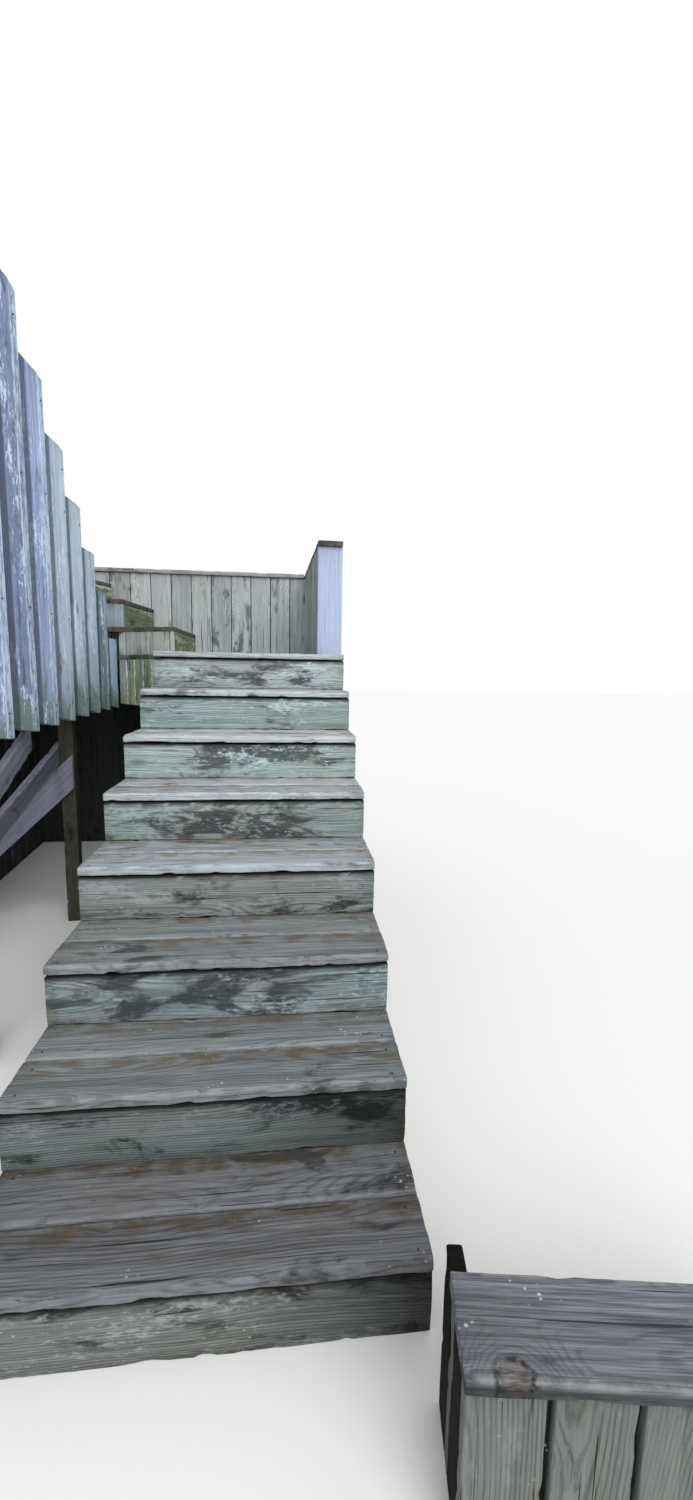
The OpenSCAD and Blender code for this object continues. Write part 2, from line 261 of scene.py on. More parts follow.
def wear_down(u, v, w, board, look, seed):
    """Hollows, chips, cupping and rough ends, which draw the surface in and never out."""
    width, thick = board.size[1:]
    wear = look["wear"]
    mid_v, mid_w = width / 2, thick / 2

    # Dents and chips
    dent = DENT * wear * (1 + noise(u * 14, v * 40, w * 40, seed=seed + 1))
    side = np.abs(v - mid_v) / mid_v
    face = np.abs(w - mid_w) / mid_w
    edge = np.clip((side + face) - 1.55, 0, 1) / 0.45
    chip = np.clip(noise(u * 22, v * 25, w * 25, seed=seed + 2) - 0.45, 0, 1) * CHIP * wear * edge
    if look.get("front_wear"):
        near = np.clip(1 - v / TRODDEN_EDGE, 0, 1) * np.clip(w / thick, 0, 1)
        uneven = 0.35 + 0.65 * np.clip(noise(u * 6, 3.0, seed=seed + 3), 0, 1)
        chip = chip + near * look["front_wear"] * uneven
    pull = dent + chip
    v = v - np.sign(v - mid_v) * pull * np.clip(side * 2 - 1, 0, 1)
    w = w - np.sign(w - mid_w) * pull * np.clip(face * 2 - 1, 0, 1)

    # Cupping, and a far edge that slopes away
    top_side = np.clip(2 * w / thick - 1, 0, 1)
    w = w - look.get("cup", 0.0) * (1 - side ** 2) * top_side
    strip, depth = look.get("far_strip", (1.0, 0.0))
    w = w - depth * np.clip((v / width - 1 + strip) / strip, 0, 1) ** 0.8 * top_side

    # Ends, and a lower end that rises toward one side
    rows = len(u)
    order = np.arange(rows)[:, None]
    at_end = (order == 0) | (order == rows - 1)
    v = mid_v + (v - mid_v) * np.where(at_end, 0.985, 1)
    w = mid_w + (w - mid_w) * np.where(at_end, 0.94, 1)
    rough = ROUGH_END * wear * (1 + noise(v * 90, w * 90, seed=seed + 4))
    u = u + np.where(order < 3, rough, 0) - np.where(order > rows - 4, rough, 0)
    near_rise = look.get("near_rise", 0.0) * (1 - np.clip(v / width, 0, 1)) ** 1.4
    return u + near_rise * np.clip(1 - u / 0.3, 0, 1), v, w


def board_shape(board, seed, look):
    """Points, faces, grain coordinates and wear of a weathered board."""
    length, width, _ = board.size
    u = np.linspace(0, length, max(4, int(length / look["step"])) + 1)
    near, inner = END_INSETS
    u = np.concatenate([[0.0, near, inner], u[1:-1], [length - inner, length - near, length]])
    v, w, rim = board_section(u, board, max(2, int(width / look["wide_step"])), look["wear"], seed)
    rows, around = v.shape
    u, v, w = wear_down(np.repeat(u[:, None], around, axis=1), v, w, board, look, seed)

    local = np.stack([u, v, w], axis=-1).reshape(-1, 3)
    end_near = np.exp(-np.minimum(u, length - u) / 0.05)
    rims = np.repeat(rim[None, :], rows, axis=0)
    worn = np.stack([rims, end_near, np.clip(v / width, 0, 1)], axis=-1).reshape(-1, 3)
    i, k = np.meshgrid(np.arange(rows - 1), np.arange(around), indexing="ij")
    n = (k + 1) % around
    quads = np.stack([i * around + k, i * around + n, (i + 1) * around + n, (i + 1) * around + k], axis=-1)
    faces = [tuple(f) for f in quads.reshape(-1, 4).tolist()]
    faces += [tuple(range(around - 1, -1, -1)), tuple((rows - 1) * around + k for k in range(around))]
    if np.linalg.det(board.axes) > 0:
        faces = [f[::-1] for f in faces]
    return board.place(local), faces, local, worn


def slab(solid, across, low, high):
    """The part of a solid between two distances across its grain."""
    work = bmesh.new()
    made = [work.verts.new(p) for p in solid.points]
    for f in solid.faces:
        work.faces.new([made[i] for i in f])
    bmesh.ops.dissolve_limit(work, angle_limit=math.radians(1), verts=work.verts, edges=work.edges)
    for edge_at, way in ((low, -1.0), (high, 1.0)):
        geometry = work.verts[:] + work.edges[:] + work.faces[:]
        cut = bmesh.ops.bisect_plane(work, geom=geometry, dist=1e-6, plane_co=across * edge_at,
                                     plane_no=across * way, clear_outer=True)
        rim = [e for e in cut["geom_cut"] if isinstance(e, bmesh.types.BMEdge)]
        if rim:
            bmesh.ops.edgenet_fill(work, edges=rim)
    return work


def prism_shapes(solid, along, plank=None):
    """A solid of any outline with softened edges, cut into planks across its grain where asked."""
    along = along / np.linalg.norm(along)
    across = np.array([-along[1], along[0], 0.0]) if abs(along[2]) < 0.9 else np.array([1.0, 0.0, 0.0])
    reach = solid.points @ across
    bands = [(reach.min() - 1, reach.max() + 1)]
    if plank:
        width, gap = plank
        count = math.ceil((reach.max() - reach.min()) / (width + gap))
        starts = [reach.min() + b * (width + gap) for b in range(count)]
        bands = [(start, start + width) for start in starts]
    shapes = []
    for low, high in bands:
        work = slab(solid, across, low, high)
        if work.faces:
            bmesh.ops.bevel(work, geom=work.edges[:], offset=BEVEL, offset_type="OFFSET", segments=2,
                            profile=0.5, affect="EDGES", clamp_overlap=True)
            bmesh.ops.recalc_face_normals(work, faces=work.faces)
            work.verts.index_update()
            points = np.array([v.co[:] for v in work.verts])
            faces = [tuple(v.index for v in f.verts) for f in work.faces]
            local = (points - points.mean(0)) @ np.array([along, across, np.cross(along, across)]).T
            worn = np.tile([0.6, 0.0, 0.0], (len(points), 1))
            shapes.append((points, faces, local, worn))
        work.free()
    return shapes


def nail_shape(at, normal, seed):
    """The low dome of a nail head, just inside the board's face."""
    normal = normal / np.linalg.norm(normal)
    side = np.cross(normal, ASKEW)
    side = side / np.linalg.norm(side)
    other = np.cross(normal, side)
    rng = np.random.default_rng(seed)
    at = at + (rng.random() - 0.5) * NAIL_SCATTER * side + (rng.random() - 0.5) * NAIL_SCATTER * other
    points = [at - normal * NAIL_CROWN]
    for radius, depth in NAIL_RINGS:
        for k in range(NAIL_SIDES):
            a = k * math.tau / NAIL_SIDES
            points.append(at + radius * (math.cos(a) * side + math.sin(a) * other) - normal * depth)
    faces = [(0, 1 + k, 1 + (k + 1) % NAIL_SIDES) for k in range(NAIL_SIDES)]
    for first in (1, 1 + NAIL_SIDES):
        for k in range(NAIL_SIDES):
            n = (k + 1) % NAIL_SIDES
            faces.append((first + k, first + NAIL_SIDES + k, first + NAIL_SIDES + n, first + n))
    points = np.array(points)
    return points, faces, points, np.zeros((len(points), 3))


def nails_on(board, top, seed, rows=(0.04,), ends=(0.045,), spacing=None):
    """Nail heads near a board's ends, and along it where it crosses what carries it."""
    length, width, thick = board.size
    stations = [*ends, *(length - e for e in ends)]
    if spacing:
        stations += list(np.arange(spacing, length - NO_NAIL, spacing))
    normal = board.axes[2] * (1 if top else -1)
    made = []
    for i, u in enumerate(stations):
        for j, v in enumerate([*rows, *(width - r for r in rows)]):
            local = np.array([[u, v, thick if top else 0.0]])
            made.append(nail_shape(board.place(local)[0], normal, seed + i * 7 + j * 3))
    return made


def gap_shade_boards_of(boards, low, high, widest=0.02, hidden=0.007, short=0.004):
    """Thin boards that close the gaps between neighbours in a row, and reach a little way behind both; they
    carry the painted shade seen through the gaps.
    """
    found = []
    for a in boards:
        for b in boards:
            if a is b:
                continue
            gap = (b.place(np.array([[0.0, 0.0, 0.0]])) - a.place(np.array([[0.0, a.size[1], 0.0]])))[0]
            along, across, out = a.axes @ gap
            if not (abs(along) < 0.01 and abs(out) < 0.004 and 0.001 < across < widest):
                continue
            level = min(a.size[0], b.size[0])
            corners = np.array([
                [[a.place(np.array([[u, a.size[1] - hidden, w * a.size[2]]]))[0] for w in (low, high)],
                 [b.place(np.array([[u, hidden, w * b.size[2]]]))[0] for w in (low, high)]]
                for u in (short, level - short)])
            size = np.array([level - 2 * short, across + 2 * hidden, (high - low) * a.size[2]])
            found.append(Board.of(corners, size, a.axes))
    return found


def join_boards(name, shapes, material, replaced=(), shade=None, nails=(), tone=PLAIN_TONE):
    """One mesh of several boards, with each board's own coordinates, wear and random numbers on it."""
    wooden = sum(len(s[1]) for s in shapes)
    shapes = list(shapes) + list(nails)
    points, faces, local, chance, worn = [], [], [], [], []
    count = 0
    rng = np.random.default_rng(hash_name(name))
    for place, board_faces, own, wear in shapes:
        points.append(place)
        faces += [tuple(i + count for i in f) for f in board_faces]
        local.append(own)
        worn.append(wear)
        chance.append(np.repeat(rng.random((1, 3)), len(place), axis=0))
        count += len(place)
    points, local = np.concatenate(points), np.concatenate(local)
    mesh = bpy.data.meshes.new(name)
    mesh.from_pydata(points.tolist(), [], faces)
    mesh.update()
    # The tone is the node's tint, partly painted light and shade
    vectors = {"grain_at": local, "board_seed": np.concatenate(chance), "board_wear": np.concatenate(worn),
               "tone": np.tile(np.array(tone, np.float32), (count, 1))}
    for attribute, values in vectors.items():
        layer = mesh.attributes.new(attribute, "FLOAT_VECTOR", "POINT")
        layer.data.foreach_set("vector", values.astype(np.float32).ravel())
    dark = mesh.attributes.new("in_shade", "FLOAT", "POINT")
    dark.data.foreach_set("value", (shade(points, local) if shade else np.zeros(count)).astype(np.float32))
    mesh.shade_smooth()
    mesh.set_sharp_from_angle(angle=math.radians(50))
    mesh.materials.append(material)
    if nails:
        mesh.materials.append(nail_iron)
        index = np.zeros(len(faces), dtype=np.int32)
        index[wooden:] = 1
        mesh.polygons.foreach_set("material_index", index)
    piece = bpy.data.objects.new(name, mesh)
    bpy.context.scene.collection.objects.link(piece)
    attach(piece, "root")
    if replaced:
        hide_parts(*replaced)
    return piece


def hash_name(name):
    """A number for a name, the same in every run."""
    value = 17
    for letter in name:
        value = (value * 131 + ord(letter)) % 1000003
    return value


# Materials

class Graph:
    """Short forms for building a shader's nodes."""

    def __init__(self, material):
        self.tree = material.node_tree

    def node(self, kind, **inputs):
        """A shader node with its inputs set by name, or by _number."""
        made = self.tree.nodes.new("ShaderNode" + kind)
        self.feed(made, inputs)
        return made

    def feed(self, made, inputs):
        for key, value in inputs.items():
            socket = made.inputs[int(key[1:])] if key[0] == "_" else made.inputs[key.replace("_", " ")]
            if isinstance(value, bpy.types.NodeSocket):
                self.tree.links.new(value, socket)
            else:
                socket.default_value = value

    def math(self, operation, a, b=0.0, c=0.0):
        made = self.tree.nodes.new("ShaderNodeMath")
        made.operation = operation
        self.feed(made, {"_0": a, "_1": b, "_2": c})
        return made.outputs[0]

    def times(self, a, b):
        return self.math("MULTIPLY", a, b)

    def times_plus(self, a, b, c):
        """a times b, plus c."""
        return self.math("MULTIPLY_ADD", a, b, c)

    def mix(self, share, a, b, blend="MIX"):
        made = self.tree.nodes.new("ShaderNodeMix")
        made.data_type = "RGBA"
        made.blend_type = blend
        made.clamp_factor = True
        for index, value in ((0, share), (6, a), (7, b)):
            if isinstance(value, bpy.types.NodeSocket):
                self.tree.links.new(value, made.inputs[index])
            else:
                made.inputs[index].default_value = value if index == 0 else (*value, 1.0)
        return made.outputs[2]

    def length(self, a, b):
        squares = self.math("ADD", self.times(a, a), self.times(b, b))
        return self.math("SQRT", squares)

    def step(self, value, low, high, to_low=0.0, to_high=1.0):
        """A smooth step from one value to another."""
        made = self.node("MapRange", Value=value)
        made.interpolation_type = "SMOOTHSTEP"
        self.feed(made, {"_1": low, "_2": high, "_3": to_low, "_4": to_high})
        return made.outputs[0]

    def noise(self, vector, detail=3.0, rough=0.55, distortion=0.0):
        made = self.node("TexNoise", Vector=vector, Scale=1.0, Detail=detail, Roughness=rough,
                         Distortion=distortion)
        return made.outputs["Fac"]

    def stretched(self, vector, x, y, z, offset=None):
        """A vector times three factors, and moved."""
        made = self.node("VectorMath", _0=vector, _1=(x, y, z))
        made.operation = "MULTIPLY"
        if offset is None:
            return made.outputs[0]
        added = self.node("VectorMath", _0=made.outputs[0], _1=offset)
        added.operation = "ADD"
        return added.outputs[0]


# Colours, and how much of each kind of grain, growth and wear a timber shows.
# vary: between boards; low: near a board's foot, as far up as low_reach; rear: along a tread's rear;
# blotch: pale lichen; strip: lichen crust and a painted highlight along a lapped board's far edge; the lap's
# painted shade: darkness under the lap, which also greys some lapped boards
WOOD = {
    "pale": (0.3, 0.3, 0.28), "dark": (0.12, 0.12, 0.11), "vary": 0.18,
    "fibre": 0.5, "rings": 0.5, "knots": 0.5, "knot_at": None, "checks": 0.5,
    "mildew": 0.3, "mildew_colour": (0.02, 0.022, 0.02),
    "algae": 0.2, "algae_colour": (0.09, 0.12, 0.045), "low_algae": 0.0, "low_reach": 0.5,
    "rear": 0.0, "rear_colour": (0.1, 0.11, 0.04),
    "lichen": 0.1, "lichen_colour": (0.42, 0.45, 0.34), "blotch": 0.0, "blotch_colour": (0.5, 0.52, 0.48),
    "strip": 0.0, "lap": 0.0,
    "worn": 0.3, "worn_colour": (0.42, 0.42, 0.4),
}
ROUGHNESS = 0.85
SPECULAR = 0.12
RELIEF = 0.0016
RING_WAVES = 780.0  # radians a metre
CRACK = (0.012, 0.011, 0.01)
# Painted shade: the near-black colour laid over a board as far as its in_shade asks
SHADE = (0.004, 0.0045, 0.004)
DEEPEST = 0.93  # share of that colour in full shade


class Wood:
    """Grey timber with rings, fibres, knots, checks, mildew, algae, lichen and worn edges."""

    def __init__(self, name, changes):
        self.material = bpy.data.materials.new(name)
        self.material.use_nodes = True
        self.g = g = Graph(self.material)
        self.s = {**WOOD, **changes}
        self.at = self.attribute("grain_at", "Vector")
        seed = self.attribute("board_seed", "Vector")
        wear = g.node("SeparateXYZ", Vector=self.attribute("board_wear", "Vector"))
        self.rim, self.end, self.share = wear.outputs
        self.chance = g.node("SeparateXYZ", Vector=seed).outputs
        self.shift = g.stretched(seed, 31.0, 17.0, 23.0)
        self.u, self.v, self.w = g.node("SeparateXYZ", Vector=self.at).outputs
        self.draw_grain()
        self.colour = self.bare_wood()
        self.grow_mildew_and_algae()
        self.grow_lichen()
        self.wear_and_crack()
        self.finish()

    def attribute(self, label, output):
        made = self.g.node("Attribute")
        made.attribute_name = label
        return made.outputs[output]

    def cloud(self, x, y, z, turn=None, **kind):
        """Noise stretched along the grain, at another place for each board."""
        offset = self.g.stretched(self.shift, *turn) if turn else self.shift
        return self.g.noise(self.g.stretched(self.at, x, y, z, offset), **kind)

    def spots(self, x, y, z):
        """Cells stretched along the grain: the distance from each one's middle, and its own number."""
        at = self.g.stretched(self.at, x, y, z, self.shift)
        made = self.g.node("TexVoronoi", Vector=at, Scale=1.0, Randomness=1.0)
        own = self.g.node("SeparateColor", Color=made.outputs["Color"])
        return made.outputs["Distance"], own.outputs[0]

    def darker(self, share, red=0.0, green=0.0):
        """The dark wood's colour, darker still and a little redder."""
        dark = self.s["dark"]
        return dark[0] * share + red, dark[1] * share + green, dark[2] * share

    def paint(self, share, colour):
        """Lay a colour over what is there."""
        self.colour = self.g.mix(share, self.colour, colour)

    def draw_grain(self):
        """Rings round a pith that wanders under the face, pushed aside by knots; fibres and cracks."""
        g, s = self.g, self.s
        drift = self.cloud(1.1, 0.0, 0.0, detail=1.0)
        drift_deep = self.cloud(0.8, 0.0, 0.0, (1.0, 1.0, -3.0), detail=1.0)
        off_knot, own = self.spots(2.3, 6.5, 0.0)
        chosen = g.math("GREATER_THAN", own, 1.0 - s["knots"])
        self.knot = g.times(g.step(off_knot, 0.16, 0.05), chosen)
        push = g.times(g.step(off_knot, 0.5, 0.0), chosen)
        warp = self.cloud(5.0, 22.0, 22.0, detail=2.0)
        side_pith = g.times(g.math("SUBTRACT", self.chance[1], 0.3), 0.26)
        side_pith = g.times_plus(drift, 0.09, side_pith)
        deep_pith = g.times_plus(drift_deep, -0.24, 0.06)
        distance = g.length(g.math("SUBTRACT", self.v, side_pith), g.math("SUBTRACT", self.w, deep_pith))
        distance = g.times_plus(push, 0.02, distance)
        if s["knot_at"]:
            far_u = g.times(g.math("SUBTRACT", self.u, s["knot_at"][0]), 0.75)
            far_v = g.math("SUBTRACT", self.v, s["knot_at"][1])
            ragged = g.noise(g.stretched(self.at, 40.0, 40.0, 40.0), detail=3.0)
            self.from_knot = g.times_plus(ragged, 0.012, g.length(far_u, far_v))
            distance = g.math("ADD", distance, g.step(self.from_knot, 0.12, 0.0, 0.0, 0.07))
        distance = g.times_plus(warp, 0.008, distance)
        late = g.step(g.math("SINE", g.times(distance, RING_WAVES)), 0.15, 0.95)
        ring_vary = self.cloud(0.7, 14.0, 14.0, detail=2.0)
        self.rings = g.times(late, g.step(ring_vary, 0.3, 0.65, 0.3, 1.0))

        self.fibre = self.cloud(7.0, 330.0, 330.0, detail=4.0, rough=0.6)
        self.streak = self.cloud(1.6, 60.0, 60.0, detail=3.0)
        cracks = self.cloud(2.2, 125.0, 125.0, (1.3, 1.7, 1.1), detail=2.0, rough=0.4)
        cracks = g.step(cracks, 0.69 - 0.05 * s["checks"], 0.735 - 0.05 * s["checks"])
        where = self.cloud(1.3, 5.0, 5.0, detail=2.0)
        self.check = g.times(cracks, g.step(where, 0.42, 0.58, 0.15, 1.0))

    def bare_wood(self):
        """The wood's own colour, between its dark and its pale one."""
        g, s = self.g, self.s
        tone = g.times_plus(g.math("SUBTRACT", self.fibre, 0.5), 1.5 * s["fibre"], 0.55)
        tone = g.times_plus(g.math("SUBTRACT", self.streak, 0.5), 1.3 * s["fibre"], tone)
        tone = g.times_plus(self.rings, -0.55 * s["rings"], tone)
        tone = g.times_plus(g.math("SUBTRACT", self.chance[0], 0.5), 2.2 * s["vary"], tone)
        tone = g.step(tone, 0.0, 1.0)
        colour = g.mix(tone, s["dark"], s["pale"])
        if s["lap"]:
            greyer = g.times(g.step(self.chance[2], 0.9, 0.75), 0.65)
            colour = g.mix(greyer, colour, g.mix(tone, (0.11, 0.135, 0.11), (0.38, 0.42, 0.37)))
        warm = self.cloud(2.5, 9.0, 9.0, (1.1, 0.9, 2.0), detail=3.0)
        return g.mix(g.times(g.step(warm, 0.4, 0.75), 0.3), colour, (0.5, 0.42, 0.32), "OVERLAY")

    def grow_mildew_and_algae(self):
        """Dark stains, green toward the ends, and what gathers along a tread's rear."""
        g, s = self.g, self.s
        patch = self.cloud(4.2, 11.0, 11.0, detail=6.0, rough=0.68, distortion=0.5)
        where = self.cloud(1.1, 3.0, 3.0, (0.7, 1.2, 1.9), detail=2.0)
        patch = g.times_plus(g.math("SUBTRACT", where, 0.5), 0.7, patch)
        patch = g.step(patch, 0.66 - 0.2 * s["mildew"], 0.8 - 0.2 * s["mildew"])
        self.stain = g.times(patch, min(1.0, 0.55 + s["mildew"] * 0.4))
        self.paint(self.stain, s["mildew_colour"])

        green = self.cloud(3.1, 7.5, 7.5, (2.3, 1.0, 0.6), detail=5.0, rough=0.62)
        green = g.times_plus(self.end, 0.16, green)
        if s["low_algae"]:
            green = g.math("ADD", green, g.step(self.u, s["low_reach"], 0.0, 0.0, s["low_algae"]))
        green = g.step(green, 0.68 - 0.25 * s["algae"], 0.92 - 0.25 * s["algae"])
        self.paint(g.times(green, 0.8), s["algae_colour"])
        if s["rear"]:
            moss = self.cloud(9.0, 16.0, 16.0, detail=5.0, rough=0.7)
            moss = g.times(g.math("SUBTRACT", moss, 0.5), 1.6)
            moss = g.times_plus(self.share, s["rear"], moss)
            self.paint(g.times(g.step(moss, 0.35, 0.85), 0.85), s["rear_colour"])

    def grow_lichen(self):
        """Flecks, pale blotches, the crust along a lapped board's edge with a painted highlight on its ridge,
        and painted shade under the lap.
        """
        g, s = self.g, self.s
        off_fleck, own = self.spots(75.0, 95.0, 95.0)
        fleck = g.times(g.step(off_fleck, 0.42, 0.2), g.math("GREATER_THAN", own, 0.8))
        crowd = self.cloud(6.0, 13.0, 13.0, (0.4, 0.8, 1.2), detail=3.0)
        crowd = g.step(crowd, 0.62 - 0.25 * s["lichen"], 0.75 - 0.25 * s["lichen"])
        self.fleck = g.times(fleck, crowd)
        self.paint(self.fleck, s["lichen_colour"])
        if s["blotch"]:
            area = self.cloud(2.6, 9.0, 9.0, (0.9, 2.1, 1.4), detail=3.0)
            spread = self.cloud(26.0, 60.0, 60.0, detail=6.0, rough=0.72)
            spread = g.times_plus(g.math("SUBTRACT", area, 0.5), 0.9, spread)
            self.paint(g.times(g.step(spread, 0.55, 0.68), s["blotch"]), s["blotch_colour"])
        if s["strip"]:
            crust = self.cloud(14.0, 40.0, 40.0, detail=5.0, rough=0.7)
            band = g.times(g.step(self.share, 0.7, 0.76), g.step(crust, 0.42, 0.6))
            self.paint(g.times(band, s["strip"]), s["lichen_colour"])
            # Painted highlight: a pale line in the worn colour along the ridge where the far strip bends away
            ridge_highlight = g.times(g.step(self.share, 0.745, 0.765), g.step(self.share, 0.8, 0.775))
            ridge_highlight = g.times(ridge_highlight, g.step(crust, 0.3, 0.5))
            self.paint(g.times(ridge_highlight, 0.8), s["worn_colour"])
        # Painted shade under the lap, where the neighbouring board keeps the light off
        if s["lap"]:
            self.paint(g.times(g.step(self.share, 0.43, 0.36), s["lap"]), self.darker(0.25))

    def wear_and_crack(self):
        """Bare edges, knots, cracks, end grain, the board's tint, and painted shade; the tint is partly
        painted light and shade.
        """
        g, s = self.g, self.s
        scuff = self.cloud(16.0, 30.0, 30.0, detail=4.0)
        bare = g.times(g.step(self.rim, 0.35, 1.0), g.step(scuff, 0.4, 0.6))
        self.paint(g.times(bare, s["worn"]), s["worn_colour"])
        self.paint(g.times(self.knot, 0.75), self.darker(0.35, 0.024, 0.012))
        if s["knot_at"]:
            heart = g.step(g.noise(g.stretched(self.at, 50.0, 260.0, 260.0), detail=4.0), 0.3, 0.7)
            heart = g.mix(heart, (0.04, 0.032, 0.028), (0.13, 0.105, 0.09))
            self.paint(g.times(g.step(self.from_knot, 0.03, 0.022), 0.85), heart)
            crust = g.times(g.step(self.from_knot, 0.022, 0.029),
                           g.step(self.from_knot, 0.04, 0.032))
            broken = g.step(g.noise(g.stretched(self.at, 60.0, 60.0, 60.0), detail=3.0), 0.35, 0.6)
            self.paint(g.times(crust, broken), (0.02, 0.018, 0.016))
        self.paint(g.times(self.check, 0.85), CRACK)
        self.paint(g.times(self.end, 0.25), self.darker(0.5))
        # The node's tint, partly painted light and shade
        self.colour = g.mix(1.0, self.colour, self.attribute("tone", "Vector"), "MULTIPLY")
        # Painted shade, as deep as in_shade asks
        self.paint(g.times(self.attribute("in_shade", "Fac"), DEEPEST), SHADE)

    def finish(self):
        """Relief, roughness and shine."""
        g = self.g
        height = g.times_plus(self.fibre, 0.5, g.times(self.rings, 0.4))
        height = g.times_plus(self.check, -1.6, height)
        height = g.times_plus(self.streak, 0.6, height)
        height = g.times_plus(self.fleck, 0.5, height)
        bump = g.node("Bump", Strength=0.8, Distance=RELIEF, Height=height)
        rough = g.times_plus(g.math("SUBTRACT", self.fibre, 0.5), 0.3, ROUGHNESS)
        rough = g.times_plus(self.stain, 0.08, rough)
        g.feed(g.tree.nodes["Principled BSDF"], {
            "Base Color": self.colour, "Roughness": rough, "Normal": bump.outputs[0],
            "Specular IOR Level": SPECULAR})


def weathered_wood(name, base=None, **changes):
    """A weathered timber material, as WOOD says except for the changes to it."""
    return Wood(name, {**(base or {}), **changes}).material


def iron(name):
    """Rusted nail heads."""
    material = bpy.data.materials.new(name)
    material.use_nodes = True
    g = Graph(material)
    at = g.node("TexCoord").outputs["Object"]
    patch = g.noise(g.stretched(at, 120.0, 120.0, 120.0), detail=4.0)
    colour = g.mix(g.step(patch, 0.35, 0.7), (0.018, 0.016, 0.015), (0.09, 0.045, 0.025))
    shader = g.tree.nodes["Principled BSDF"]
    g.feed(shader, {"Base Color": colour, "Roughness": g.step(patch, 0.2, 0.8, 0.55, 0.9), "Metallic": 0.3})
    return material


nail_iron = iron("nail_iron")
RISER = {
    "pale": (0.27, 0.31, 0.26), "dark": (0.1, 0.12, 0.095), "fibre": 0.85, "rings": 0.9, "knots": 0.45,
    "mildew": 0.72, "algae": 0.3, "algae_colour": (0.12, 0.15, 0.075), "lichen": 0.2,
    "lichen_colour": (0.36, 0.39, 0.3), "worn": 0.35, "worn_colour": (0.27, 0.24, 0.18), "blotch": 0.55,
    "blotch_colour": (0.33, 0.38, 0.33),
}
WALL = {
    "pale": (0.54, 0.525, 0.48), "dark": (0.2, 0.19, 0.17), "rings": 0.6, "knots": 0.35, "mildew": 0.48,
    "mildew_colour": (0.05, 0.048, 0.042), "algae": 0.1, "lichen": 0.1, "worn": 0.3,
    "worn_colour": (0.45, 0.44, 0.41), "vary": 0.14,
}
DARK = {
    "pale": (0.14, 0.13, 0.118), "dark": (0.035, 0.033, 0.03), "fibre": 0.7, "checks": 1.0, "mildew": 0.35,
    "algae": 0.2, "lichen": 0.15, "lichen_colour": (0.3, 0.31, 0.27), "worn": 0.55,
    "worn_colour": (0.3, 0.29, 0.27),
}

# The material of each of the part's slots
woods = {
    "riser_wood": weathered_wood("riser_wood", RISER),
    "tread_wood": weathered_wood(
        "tread_wood", pale=(0.27, 0.285, 0.29), dark=(0.085, 0.09, 0.092), fibre=0.85, rings=0.5, mildew=0.45,
        algae=0.15, lichen=0.2, worn=0.45, worn_colour=(0.3, 0.31, 0.31), rear=0.7,
        rear_colour=(0.105, 0.075, 0.04)),
    "wall_wood": weathered_wood("wall_wood", WALL),
    # Blue-grey boards of the lapped skirt: grey weathered wood, bluer with painted sky light, as the skirt
    # faces the open sky
    "skirt_wood": weathered_wood(
        "skirt_wood", pale=(0.38, 0.42, 0.52), dark=(0.15, 0.17, 0.22), fibre=0.9, rings=0.5, mildew=0.3,
        algae=0.1, algae_colour=(0.14, 0.17, 0.1), low_algae=0.4, low_reach=0.42, lichen=0.4,
        lichen_colour=(0.46, 0.5, 0.46), worn=0.8, worn_colour=(0.55, 0.59, 0.64), blotch=0.85,
        blotch_colour=(0.55, 0.58, 0.6), strip=0.75, lap=0.75, vary=0.4),
    "dark_wood": weathered_wood("dark_wood", DARK),
    "frame_wood": weathered_wood(
        "frame_wood", pale=(0.19, 0.18, 0.13), dark=(0.06, 0.06, 0.045), mildew=0.5, algae=0.45, worn=0.2),
}

# The nodes whose timber looks different from the rest of their slot
special = {
    "corner_wall_boards": weathered_wood("wall_wood_grey", {
        **WALL, "pale": (0.34, 0.35, 0.31), "dark": (0.13, 0.135, 0.118), "mildew": 0.25, "algae": 0.25,
        "lichen": 0.3, "worn_colour": (0.3, 0.31, 0.28), "blotch": 0.2}),
    "end_wall_end_board": weathered_wood("wall_wood_pale", {
        **WALL, "pale": (0.6, 0.585, 0.64), "dark": (0.38, 0.37, 0.41), "rings": 0.35, "mildew": 0.12}),
    "corner_wall_cap": weathered_wood("dark_wood_capping", {
        **DARK, "pale": (0.17, 0.17, 0.175), "dark": (0.045, 0.044, 0.045), "fibre": 0.85, "rings": 0.3,
        "lichen": 0.3, "worn": 0.7, "worn_colour": (0.17, 0.165, 0.15), "knot_at": (0.093, 0.009)}),
    "winder_sides": weathered_wood("wall_wood_stained", {
        **WALL, "pale": (0.42, 0.41, 0.36), "dark": (0.2, 0.195, 0.17), "mildew": 0.4, "algae": 0.25}),
    "wing_skirt": weathered_wood(
        "skirt_wood_mossy", pale=(0.22, 0.23, 0.15), dark=(0.07, 0.075, 0.05), mildew=0.5, algae=0.55,
        algae_colour=(0.17, 0.18, 0.06), lichen=0.6, lichen_colour=(0.4, 0.42, 0.22), vary=0.4),
    "upper_outer_boards": weathered_wood(
        "skirt_wood_plain", pale=(0.36, 0.38, 0.41), dark=(0.15, 0.155, 0.165), fibre=0.8, rings=0.6,
        mildew=0.45, algae=0.25, lichen=0.4, lichen_colour=(0.4, 0.43, 0.36), worn=0.5,
        worn_colour=(0.45, 0.46, 0.46), vary=0.3),
    # A paler, greyer copy of the frame wood for the braces, partly painted light, as they stand in shade
    # under the landing
    "upper_braces": weathered_wood(
        "frame_wood_grey", pale=(0.36, 0.35, 0.385), dark=(0.14, 0.135, 0.15), mildew=0.3, algae=0.15,
        worn=0.4),
    # A darker, greener copy of the riser wood for the winding steps' risers: painted shade, as they stand in
    # the shade between the walls
    "winder_risers": weathered_wood("riser_wood_painted_shade", {
        **RISER, "pale": (0.16, 0.17, 0.12), "dark": (0.06, 0.065, 0.045)}),
}
